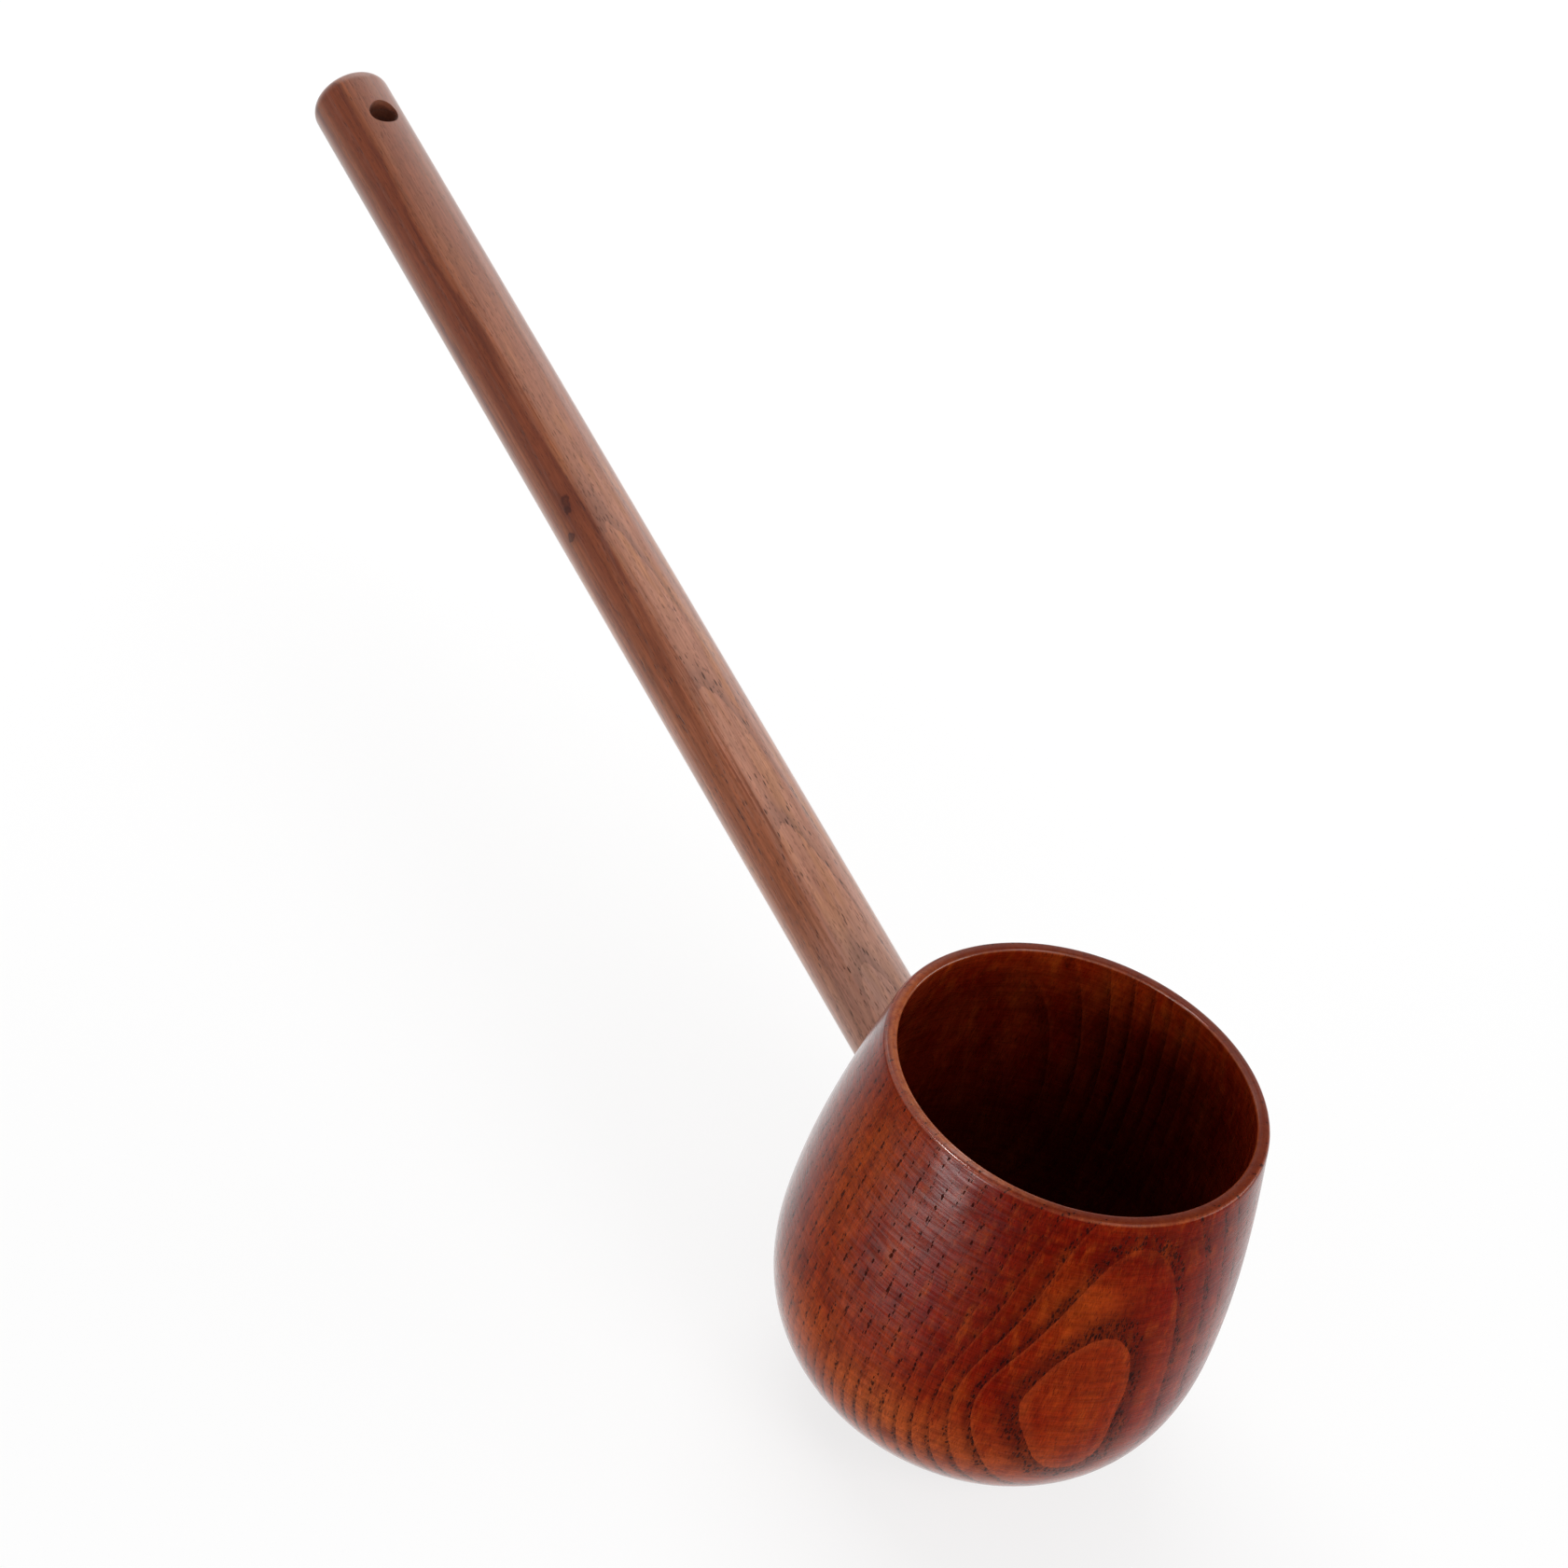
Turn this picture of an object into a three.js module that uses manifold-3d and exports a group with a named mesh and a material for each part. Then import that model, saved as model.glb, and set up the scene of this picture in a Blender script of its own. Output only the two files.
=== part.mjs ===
// A wooden ladle: a cup turned from one block, with a round rod for a handle. The rod's end is coped to the
// cup's belly, and a loose dowel passes through the cup's wall into the rod and holds the two together.
// The origin is the centre of the cup's foot, +Z is the cup's axis, and the handle reaches out over +X.

import * as THREE from 'three';
import { mergeVertices } from 'three/addons/utils/BufferGeometryUtils.js';
import Module from 'manifold-3d';

const wasm = await Module();
wasm.setup();

// Driving dimensions, in millimetres and degrees.

// Cup, outside
const cupHeight = 76;
const rimRadius = 34.5;
const rimLean = 11; // how far the wall leans in at the rim, from the vertical
const rimPull = 17; // length over which the wall holds that lean
const bellyRadius = 40;
const bellyHeight = 31; // widest place, above the foot
const bellyPullUp = 15; // fullness of the belly towards the rim
const bellyPullDown = 20; // fullness of the belly towards the foot
const footRadius = 22;
const footAngle = 32; // rise of the wall where it leaves the foot
const footPull = 10; // length over which the wall holds that rise

// Cup, inside
const rimWall = 2.4;
const bellyWall = 4.2;
const floorThickness = 6.5;
const floorRadius = 14; // flat middle of the bowl's floor
const floorPull = 10;
const bowlPullDown = 14;
const lipRound = 0.7; // rounding of the lip's two edges

// Handle
const handleDiameter = 16;
const handleLength = 240; // from the cup's wall to the tip, along the rod
const handleTilt = 12; // rise of the rod above the level
const handleAxisHeight = 37; // where the rod's axis would meet the cup's axis
const tipRound = 3.5;
const hangHoleDiameter = 6;
const hangHoleFromTip = 13;

// Dowel
const dowelDiameter = 8;
const dowelDepth = 28; // length inside the handle
const dowelChamfer = 0.8;

// Fits
const copeGap = 0.3; // glue line between the handle's coped end and the belly
const dowelClearance = 0.3; // all round the dowel
const boreEndRoom = 1.5; // room for glue past the dowel's end
const drillPointAngle = 118;

// Facets
const cupSegments = 72;
const wallSteps = 11;
const lipSteps = 3;
const rodSegments = 40;
const dowelSegments = 32;
const tipSteps = 5;

const lean = THREE.MathUtils.degToRad(rimLean);
const rise = THREE.MathUtils.degToRad(footAngle);
const tilt = THREE.MathUtils.degToRad(handleTilt);
const handleRadius = handleDiameter / 2;
const dowelRadius = dowelDiameter / 2;
const boreRadius = dowelRadius + dowelClearance;

// Solids

function toSolid(geometry) {
  geometry.deleteAttribute('normal');
  geometry.deleteAttribute('uv');
  const welded = mergeVertices(geometry);
  const corners = welded.index.array;
  const triVerts = [];
  for (let i = 0; i < corners.length; i += 3) {
    const [a, b, c] = corners.slice(i, i + 3);
    if (a !== b && b !== c && c !== a) {
      triVerts.push(a, b, c);
    }
  }
  const vertProperties = welded.getAttribute('position').array;
  return new wasm.Manifold(new wasm.Mesh({ numProp: 3, vertProperties, triVerts: new Uint32Array(triVerts) }));
}

function toMesh(name, solid, material) {
  const { vertProperties, triVerts } = solid.getMesh();
  const geometry = new THREE.BufferGeometry();
  geometry.setAttribute('position', new THREE.BufferAttribute(vertProperties, 3));
  geometry.setIndex(new THREE.BufferAttribute(triVerts, 1));
  geometry.computeVertexNormals();
  const mesh = new THREE.Mesh(geometry, material);
  mesh.name = name;
  return mesh;
}

// A profile of (radius, height) points turned about +Z, or about +X for the rod and what goes into it.
function turnUpright(profile) {
  return new THREE.LatheGeometry(profile, cupSegments).rotateX(Math.PI / 2);
}

function turnAlongRod(profile, segments) {
  return new THREE.LatheGeometry(profile, segments).rotateZ(-Math.PI / 2);
}

// Cup profile: the outer wall from foot to lip, and the bowl's wall from floor to lip. Each is two curves that
// meet at the belly, where the wall stands upright.

function alongLean(from, length) {
  return new THREE.Vector2(from.x + length * Math.sin(lean), from.y - length * Math.cos(lean));
}

function sampled(path) {
  return path.getPoints(wallSteps);
}

function outerWall(grow) {
  const foot = new THREE.Vector2(footRadius + grow, 0);
  const belly = new THREE.Vector2(bellyRadius + grow, bellyHeight);
  const rim = new THREE.Vector2(rimRadius + grow, cupHeight);
  const lipEdge = alongLean(rim, lipRound);
  const rimControl = alongLean(rim, rimPull);
  const footControl = new THREE.Vector2(foot.x + footPull * Math.cos(rise), footPull * Math.sin(rise));

  const path = new THREE.Path();
  path.moveTo(foot.x, foot.y);
  path.bezierCurveTo(footControl.x, footControl.y, belly.x, belly.y - bellyPullDown, belly.x, belly.y);
  path.bezierCurveTo(belly.x, belly.y + bellyPullUp, rimControl.x, rimControl.y, lipEdge.x, lipEdge.y);
  return sampled(path);
}

function bowlWall() {
  const belly = new THREE.Vector2(bellyRadius - bellyWall, bellyHeight);
  const rim = new THREE.Vector2(rimRadius - rimWall, cupHeight);
  const lipEdge = alongLean(rim, lipRound);
  const rimControl = alongLean(rim, rimPull);

  const path = new THREE.Path();
  path.moveTo(floorRadius, floorThickness);
  path.bezierCurveTo(floorRadius + floorPull, floorThickness, belly.x, belly.y - bowlPullDown, belly.x, belly.y);
  path.bezierCurveTo(belly.x, belly.y + bellyPullUp, rimControl.x, rimControl.y, lipEdge.x, lipEdge.y);
  return sampled(path);
}

function lipTop() {
  const outer = new THREE.Vector2(rimRadius, cupHeight);
  const inner = new THREE.Vector2(rimRadius - rimWall, cupHeight);
  const outerEdge = alongLean(outer, lipRound);
  const innerEdge = alongLean(inner, lipRound);

  const path = new THREE.Path();
  path.moveTo(outerEdge.x, outerEdge.y);
  path.quadraticCurveTo(outer.x, outer.y, outer.x - lipRound, outer.y);
  path.lineTo(inner.x + lipRound, inner.y);
  path.quadraticCurveTo(inner.x, inner.y, innerEdge.x, innerEdge.y);
  return path.getPoints(lipSteps).slice(1, -1);
}

function cupProfile() {
  const bowl = bowlWall().reverse();
  const bottom = new THREE.Vector2(0, 0);
  const floor = new THREE.Vector2(0, floorThickness);
  return [bottom, ...outerWall(0), ...lipTop(), ...bowl, floor];
}

// The whole outside as one filled shape, grown by the gap that the handle keeps, and the bowl as a filled shape.
function blankProfile(grow) {
  return [new THREE.Vector2(0, 0), ...outerWall(grow), new THREE.Vector2(0, cupHeight)];
}

function bowlProfile() {
  return [new THREE.Vector2(0, floorThickness), ...bowlWall(), new THREE.Vector2(0, cupHeight)];
}

// Distance from the cup's axis, along the rod's axis, to the wall that a profile draws.
function reachToWall(wall) {
  const aboveAxis = wall.map((point) => point.y - handleAxisHeight - point.x * Math.tan(tilt));
  const next = aboveAxis.findIndex((height, i) => i > 0 && height >= 0 && aboveAxis[i - 1] < 0);
  const share = aboveAxis[next - 1] / (aboveAxis[next - 1] - aboveAxis[next]);
  return wall[next - 1].clone().lerp(wall[next], share).x / Math.cos(tilt);
}

const outerReach = reachToWall(outerWall(0));
const bowlReach = reachToWall(bowlWall());
const tipReach = outerReach + handleLength;
const dowelEndReach = outerReach + dowelDepth;

// The rod's own frame: its axis is +X, turned up by the tilt about the point on the cup's axis.
const handleFrame = new THREE.Group();
handleFrame.position.z = handleAxisHeight;
handleFrame.rotation.y = -tilt;
handleFrame.updateMatrixWorld();
const cupToHandle = handleFrame.matrixWorld.clone().invert();

// Cup: the turned body, with the dowel's hole drilled through the wall along the rod's axis.
function makeCup() {
  const drill = [
    new THREE.Vector2(0, bowlReach - dowelDiameter),
    new THREE.Vector2(boreRadius, bowlReach - dowelDiameter),
    new THREE.Vector2(boreRadius, outerReach + dowelDiameter),
    new THREE.Vector2(0, outerReach + dowelDiameter),
  ];
  const hole = turnAlongRod(drill, dowelSegments).applyMatrix4(handleFrame.matrixWorld);
  return toSolid(turnUpright(cupProfile())).subtract(toSolid(hole));
}

// Handle: a rod with a rounded tip, coped by the cup's outside, bored for the dowel and drilled to hang.
function makeHandle() {
  const rodStart = outerReach - handleDiameter;
  const tipArc = new THREE.Path();
  tipArc.moveTo(handleRadius, tipReach - tipRound);
  tipArc.absarc(handleRadius - tipRound, tipReach - tipRound, tipRound, 0, Math.PI / 2);
  const rodProfile = [
    new THREE.Vector2(0, rodStart),
    new THREE.Vector2(handleRadius, rodStart),
    ...tipArc.getSpacedPoints(tipSteps),
    new THREE.Vector2(0, tipReach),
  ];
  const cope = turnUpright(blankProfile(copeGap)).applyMatrix4(cupToHandle);

  const boreEnd = dowelEndReach + boreEndRoom;
  const pointLength = boreRadius / Math.tan(THREE.MathUtils.degToRad(drillPointAngle / 2));
  const boreProfile = [
    new THREE.Vector2(0, rodStart),
    new THREE.Vector2(boreRadius, rodStart),
    new THREE.Vector2(boreRadius, boreEnd),
    new THREE.Vector2(0, boreEnd + pointLength),
  ];
  const hangHole = new THREE.CylinderGeometry(
    hangHoleDiameter / 2,
    hangHoleDiameter / 2,
    handleDiameter * 2,
    dowelSegments,
  );
  hangHole.rotateX(Math.PI / 2).translate(tipReach - hangHoleFromTip, 0, 0);

  return toSolid(turnAlongRod(rodProfile, rodSegments))
    .subtract(toSolid(cope))
    .subtract(toSolid(turnAlongRod(boreProfile, dowelSegments)))
    .subtract(toSolid(hangHole));
}

// Dowel: chamfered at the end inside the handle, trimmed flush with the bowl's wall at the other.
function makeDowel() {
  const dowelStart = bowlReach - dowelDiameter;
  const dowelProfile = [
    new THREE.Vector2(0, dowelStart),
    new THREE.Vector2(dowelRadius, dowelStart),
    new THREE.Vector2(dowelRadius, dowelEndReach - dowelChamfer),
    new THREE.Vector2(dowelRadius - dowelChamfer, dowelEndReach),
    new THREE.Vector2(0, dowelEndReach),
  ];
  const bowl = turnUpright(bowlProfile()).applyMatrix4(cupToHandle);
  return toSolid(turnAlongRod(dowelProfile, dowelSegments)).subtract(toSolid(bowl));
}

const cupWood = new THREE.MeshStandardMaterial({ color: 0x8c4a2c, roughness: 0.32, metalness: 0 });
const handleWood = new THREE.MeshStandardMaterial({ color: 0x80543f, roughness: 0.55, metalness: 0 });
const dowelWood = new THREE.MeshStandardMaterial({ color: 0xb98a5e, roughness: 0.6, metalness: 0 });

const ladle = new THREE.Group();
ladle.add(toMesh('cup', makeCup(), cupWood));
handleFrame.add(toMesh('handle', makeHandle(), handleWood));
handleFrame.add(toMesh('joint_dowel', makeDowel(), dowelWood));
ladle.add(handleFrame);

export default ladle;
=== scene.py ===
from math import cos, pi, radians, sin
import bpy
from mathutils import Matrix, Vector


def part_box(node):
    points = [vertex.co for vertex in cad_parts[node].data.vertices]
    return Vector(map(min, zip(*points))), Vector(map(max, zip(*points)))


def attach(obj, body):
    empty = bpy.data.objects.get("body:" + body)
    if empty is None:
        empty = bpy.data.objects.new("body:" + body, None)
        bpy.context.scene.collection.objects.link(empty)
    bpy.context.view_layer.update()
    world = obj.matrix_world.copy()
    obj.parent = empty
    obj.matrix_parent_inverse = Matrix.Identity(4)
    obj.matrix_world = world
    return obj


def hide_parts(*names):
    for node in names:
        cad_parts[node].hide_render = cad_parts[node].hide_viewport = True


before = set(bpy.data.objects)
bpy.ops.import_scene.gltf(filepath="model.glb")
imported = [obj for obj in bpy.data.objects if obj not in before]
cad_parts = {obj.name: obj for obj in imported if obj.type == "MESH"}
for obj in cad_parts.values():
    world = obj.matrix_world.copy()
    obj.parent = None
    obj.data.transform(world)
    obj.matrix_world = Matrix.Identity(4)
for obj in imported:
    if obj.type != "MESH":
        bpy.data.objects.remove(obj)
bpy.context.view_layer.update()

scene = bpy.context.scene
scene.view_settings.view_transform = "Standard"

# camera, from the photograph's viewing angle
photoCamera = {
    "place": (-0.390694, 0.484696, 0.584314),
    "turn": (51.142, -15.4876, -123.0449),  # degrees
    "lens": 107.49,  # mm
    "sensor": 36,  # mm
    "nearest": 0.01,
    "farthest": 50,
}

bpy.ops.object.select_all(action="DESELECT")
bpy.ops.object.camera_add(
    location=photoCamera["place"],
    rotation=[radians(angle) for angle in photoCamera["turn"]],
)
camera = bpy.context.object
camera.name = "photoCamera"
camera.data.sensor_width = photoCamera["sensor"]
camera.data.lens = photoCamera["lens"]
camera.data.clip_start = photoCamera["nearest"]
camera.data.clip_end = photoCamera["farthest"]
scene.camera = camera
print("camera set")


# modelling helpers

seedSize = 0.001  # of the plane that is merged into a profile's first corner
weldDistance = 0.000002
touchDistance = 0.0001  # points this close to an end lie on it
squareOn = 0.999  # cosine, for a face that looks straight along the rod
smoothBelow = radians(30)  # edges that turn less than this are shaded smooth


def pickOnly(piece):
    bpy.ops.object.select_all(action="DESELECT")
    piece.select_set(True)
    bpy.context.view_layer.objects.active = piece


def settle(piece):  # the place goes into the mesh, the object back to the origin
    pickOnly(piece)
    bpy.ops.object.transform_apply(location=True, rotation=True, scale=True)


def clearSelection(piece, modes):  # by vertex, edge, face
    pickOnly(piece)
    bpy.ops.object.mode_set(mode="EDIT")
    bpy.context.tool_settings.mesh_select_mode = modes
    bpy.ops.mesh.select_all(action="DESELECT")
    bpy.ops.object.mode_set(mode="OBJECT")


def selectEdges(piece, wanted):
    clearSelection(piece, (False, True, False))
    corners = piece.data.vertices
    for edge in piece.data.edges:
        edge.select = wanted(corners[edge.vertices[0]].co, corners[edge.vertices[1]].co)
    bpy.ops.object.mode_set(mode="EDIT")


def selectFaces(piece, wanted):
    clearSelection(piece, (False, False, True))
    for face in piece.data.polygons:
        face.select = wanted(face.center, face.normal)
    bpy.ops.object.mode_set(mode="EDIT")


def carve(piece, cutter):
    pickOnly(piece)
    bpy.ops.object.modifier_add(type="BOOLEAN")
    cut = piece.modifiers[-1]
    cut.operation = "DIFFERENCE"
    cut.solver = "EXACT"
    cut.object = cutter
    bpy.ops.object.modifier_apply(modifier=cut.name)
    bpy.data.objects.remove(cutter, do_unlink=True)


def easeShading(piece):
    pickOnly(piece)
    bpy.ops.object.shade_smooth_by_angle(angle=smoothBelow)


def bend(start, pull, lean, end, steps):  # a drawn curve between two points, without its first
    points = []
    for step in range(1, steps + 1):
        t = step / steps
        s = 1 - t
        points.append(start * s**3 + pull * 3 * s * s * t + lean * 3 * s * t * t + end * t**3)
    return points


# a half profile drawn corner by corner in the XZ plane, then spun about the cup's axis
def turnOnLathe(name, profile, steps):
    bpy.ops.object.select_all(action="DESELECT")
    bpy.ops.mesh.primitive_plane_add(size=seedSize, location=(profile[0].x, 0, profile[0].y))
    piece = bpy.context.object
    piece.name = name
    settle(piece)
    bpy.ops.object.mode_set(mode="EDIT")
    bpy.context.tool_settings.mesh_select_mode = (True, False, False)
    bpy.ops.mesh.select_all(action="SELECT")
    bpy.ops.mesh.merge(type="CENTER")
    for here, there in zip(profile, profile[1:]):
        step = (there.x - here.x, 0, there.y - here.y)
        bpy.ops.mesh.extrude_region_move(TRANSFORM_OT_translate={"value": step})
    bpy.ops.mesh.select_all(action="SELECT")
    bpy.ops.mesh.spin(steps=steps, angle=2 * pi, center=(0, 0, 0), axis=(0, 0, 1))
    bpy.ops.mesh.select_all(action="SELECT")
    bpy.ops.mesh.remove_doubles(threshold=weldDistance)
    bpy.ops.mesh.normals_make_consistent(inside=False)
    bpy.ops.object.mode_set(mode="OBJECT")
    return piece


def roundBar(name, radius, sides, length, middle, turn):
    bpy.ops.object.select_all(action="DESELECT")
    bpy.ops.mesh.primitive_cylinder_add(
        vertices=sides,
        radius=radius,
        depth=length,
        location=middle,
        rotation=(0, turn, 0),
    )
    bar = bpy.context.object
    bar.name = name
    settle(bar)
    return bar


# shader helpers

nodeGap = (190, 260)
nodesPerRow = 12
millimetre = 0.001


def plug(tree, value, socket):
    if isinstance(value, bpy.types.NodeSocket):
        tree.links.new(value, socket)
    else:
        socket.default_value = value


def newNode(tree, kind, values, **settings):
    made = tree.nodes.new(kind)
    row, column = divmod(len(tree.nodes), nodesPerRow)
    made.location = (nodeGap[0] * column, -nodeGap[1] * row)
    for key, setting in settings.items():
        setattr(made, key, setting)
    for socket, value in zip(made.inputs, values):
        plug(tree, value, socket)
    return made


def maths(tree, operation, *values):
    return newNode(tree, "ShaderNodeMath", values, operation=operation).outputs[0]


def times(tree, first, *others):
    for other in others:
        first = maths(tree, "MULTIPLY", first, other)
    return first


def vectors(tree, operation, *values):
    made = newNode(tree, "ShaderNodeVectorMath", values, operation=operation)
    return made.outputs["Value" if operation in ("DOT_PRODUCT", "LENGTH") else "Vector"]


def fade(tree, value, span):  # span: from, to, result at from, result at to
    made = newNode(
        tree, "ShaderNodeMapRange", (value, *span), interpolation_type="SMOOTHSTEP"
    )
    return made.outputs[0]


def mixColours(tree, share, first, second, blend="MIX"):
    made = newNode(tree, "ShaderNodeMix", (), data_type="RGBA", blend_type=blend)
    plug(tree, share, made.inputs[0])
    plug(tree, first, made.inputs[6])
    plug(tree, second, made.inputs[7])
    return made.outputs[2]


def shade(tree, colour, factor):  # darker below 1, lighter above
    return mixColours(tree, 1.0, colour, factor, "MULTIPLY")


def noise(tree, place, detail, scale=1.0, stretch=None, roughness=0.5):
    if stretch:
        place = vectors(tree, "MULTIPLY", place, stretch)
    made = newNode(tree, "ShaderNodeTexNoise", ())
    plug(tree, place, made.inputs["Vector"])
    made.inputs["Scale"].default_value = scale
    made.inputs["Detail"].default_value = detail
    made.inputs["Roughness"].default_value = roughness
    return made.outputs[0]


def inCells(tree, place, across, along):  # counted in cells of this size
    cell = newNode(tree, "ShaderNodeCombineXYZ", (across, across, along)).outputs[0]
    return vectors(tree, "DIVIDE", place, cell)


def screenColour(code):  # a colour as a picture shows it, for a shader socket
    levels = [int(code[i:i + 2], 16) / 255 for i in (0, 2, 4)]
    linear = [c / 12.92 if c < 0.04045 else ((c + 0.055) / 1.055) ** 2.4 for c in levels]
    return (*linear, 1)


def screenColours(codes):
    return {name: screenColour(code) for name, code in codes.items()}


def startGroup(name, inputs, outputs):
    group = bpy.data.node_groups.new(name, "ShaderNodeTree")
    for label, kind, value in inputs:
        socket = group.interface.new_socket(
            label, in_out="INPUT", socket_type="NodeSocket" + kind
        )
        socket.default_value = value
    for label in outputs:
        group.interface.new_socket(label, in_out="OUTPUT", socket_type="NodeSocketFloat")
    given = group.nodes.new("NodeGroupInput").outputs
    result = group.nodes.new("NodeGroupOutput").inputs
    return group, given, result


def useGroup(tree, group, **values):
    made = newNode(tree, "ShaderNodeGroup", (), node_tree=group)
    made.label = group.name
    for label, value in values.items():
        plug(tree, value, made.inputs[label])
    return made.outputs


# shared wood groups, all in millimetres with z along the grain

# a soft round spot, for swells in the grain, stain, polish and knots
spotGroup, given, result = startGroup(
    "softSpot",
    [
        ("place", "Vector", (0, 0, 0)),
        ("centre", "Vector", (0, 0, 0)),
        ("size", "Vector", (1, 1, 1)),
    ],
    ["mask"],
)
away = vectors(spotGroup, "SUBTRACT", given["place"], given["centre"])
away = vectors(spotGroup, "DIVIDE", away, given["size"])
square = vectors(spotGroup, "DOT_PRODUCT", away, away)
mask = maths(spotGroup, "EXPONENT", times(spotGroup, square, -1))
plug(spotGroup, mask, result["mask"])

# yearly rings counted along the depth: a dark ragged early band, a light part, a pale edge
ringShape = {
    "waver": {"stretch": (0.9, 0.9, 0.12), "detail": 3.0},
    "bandSolid": 0.35,  # share of the early band that is dark throughout
    "edge": (0.84, 0.96, 0, 1),
}
ringGroup, given, result = startGroup(
    "growthRings",
    [
        ("place", "Vector", (0, 0, 0)),
        ("depth", "Float", 0),
        ("first", "Float", 0),
        ("spacing", "Float", 2),
        ("widening", "Float", 0),
        ("wander", "Float", 0.1),
        ("hatch", "Float", 0.5),
        ("ragged", "Float", 0.5),
        ("bandShare", "Float", 0.35),
    ],
    ["band", "edge", "late"],
)
waver = maths(ringGroup, "SUBTRACT", noise(ringGroup, given["place"], **ringShape["waver"]), 0.5)
wavy = maths(ringGroup, "ADD", given["depth"], times(ringGroup, waver, given["wander"]))
inward = maths(ringGroup, "SUBTRACT", given["first"], wavy)
pitch = times(ringGroup, inward, given["widening"])
pitch = maths(ringGroup, "ADD", given["spacing"], pitch)
late = maths(ringGroup, "FRACT", maths(ringGroup, "DIVIDE", inward, pitch))
torn = times(ringGroup, maths(ringGroup, "SUBTRACT", 0.5, given["hatch"]), given["ragged"])
torn = maths(ringGroup, "ADD", late, torn)
bandStart = times(ringGroup, given["bandShare"], ringShape["bandSolid"])
plug(ringGroup, fade(ringGroup, torn, (bandStart, given["bandShare"], 1, 0)), result["band"])
plug(ringGroup, fade(ringGroup, late, ringShape["edge"]), result["edge"])
plug(ringGroup, late, result["late"])

# pores: thin tubes along the grain, of uneven size
poreShape = {"uneven": (0.0, 1.0, 0.3, 1.0), "core": 0.6}
poreGroup, given, result = startGroup(
    "woodPores",
    [
        ("place", "Vector", (0, 0, 0)),
        ("spacing", "Float", 0.5),
        ("length", "Float", 10),
        ("size", "Float", 0.3),
    ],
    ["mask"],
)
cells = newNode(poreGroup, "ShaderNodeTexVoronoi", ())
cells.inputs["Scale"].default_value = 1
inCell = inCells(poreGroup, given["place"], given["spacing"], given["length"])
plug(poreGroup, inCell, cells.inputs["Vector"])
draw = newNode(poreGroup, "ShaderNodeSeparateColor", (cells.outputs["Color"],)).outputs[0]
reach = times(poreGroup, fade(poreGroup, draw, poreShape["uneven"]), given["size"])
core = times(poreGroup, reach, poreShape["core"])
mask = fade(poreGroup, cells.outputs["Distance"], (core, reach, 1, 0))
plug(poreGroup, mask, result["mask"])

# fine fibres, drawn out along the grain
fibreShape = {"detail": 4.0, "roughness": 0.6}
fibreGroup, given, result = startGroup(
    "woodFibres",
    [("place", "Vector", (0, 0, 0)), ("width", "Float", 0.3), ("length", "Float", 8)],
    ["streak"],
)
drawnOut = inCells(fibreGroup, given["place"], given["width"], given["length"])
plug(fibreGroup, noise(fibreGroup, drawnOut, **fibreShape), result["streak"])

# marks that the tool and the abrasive leave around the work
markShape = {"length": 6.0, "detail": 2.0}
markGroup, given, result = startGroup(
    "toolMarks",
    [("place", "Vector", (0, 0, 0)), ("pitch", "Float", 0.4)],
    ["mark"],
)
turns = inCells(markGroup, given["place"], markShape["length"], given["pitch"])
plug(markGroup, noise(markGroup, turns, markShape["detail"]), result["mark"])
print("wood groups ready")


def spotMask(tree, place, centre, size):
    return useGroup(tree, spotGroup, place=place, centre=centre, size=size)["mask"]


def startWood(name, lacquer):
    wood = bpy.data.materials.new(name)
    wood.use_nodes = True
    tree = wood.node_tree
    shader = tree.nodes["Principled BSDF"]
    shader.inputs["Specular IOR Level"].default_value = lacquer["specular"]
    shader.inputs["Coat Roughness"].default_value = lacquer["coatRoughness"]
    angle = newNode(tree, "ShaderNodeLayerWeight", ())  # the lacquer shines at a low angle
    gloss = fade(tree, angle.outputs["Facing"], lacquer["shine"])
    return wood, tree, shader, gloss


def grainPlace(tree, centre, turn):  # object space to millimetres in the wood's own axes
    space = newNode(tree, "ShaderNodeTexCoord", ())
    made = newNode(tree, "ShaderNodeMapping", (), vector_type="TEXTURE")
    plug(tree, space.outputs["Object"], made.inputs["Vector"])
    made.inputs["Location"].default_value = centre
    made.inputs["Rotation"].default_value = [radians(angle) for angle in turn]
    made.inputs["Scale"].default_value = (millimetre, millimetre, millimetre)
    return made.outputs["Vector"]


# layers are heights, summed by their shares in the relief
def finishSurface(tree, shader, colour, gloss, roughness, relief, **layers):
    plug(tree, colour, shader.inputs["Base Color"])
    plug(tree, gloss, shader.inputs["Coat Weight"])
    plug(tree, roughness, shader.inputs["Roughness"])
    height = 0.0
    for name, layer in layers.items():
        height = maths(tree, "MULTIPLY_ADD", layer, relief[name], height)
    bump = newNode(tree, "ShaderNodeBump", ())
    bump.inputs["Strength"].default_value = 1.0
    bump.inputs["Distance"].default_value = relief["depth"]
    plug(tree, height, bump.inputs["Height"])
    plug(tree, bump.outputs["Normal"], shader.inputs["Normal"])


def paint(piece, material):
    piece.data.materials.clear()
    piece.data.materials.append(material)


# cup: turned outside and inside from one block

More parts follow.
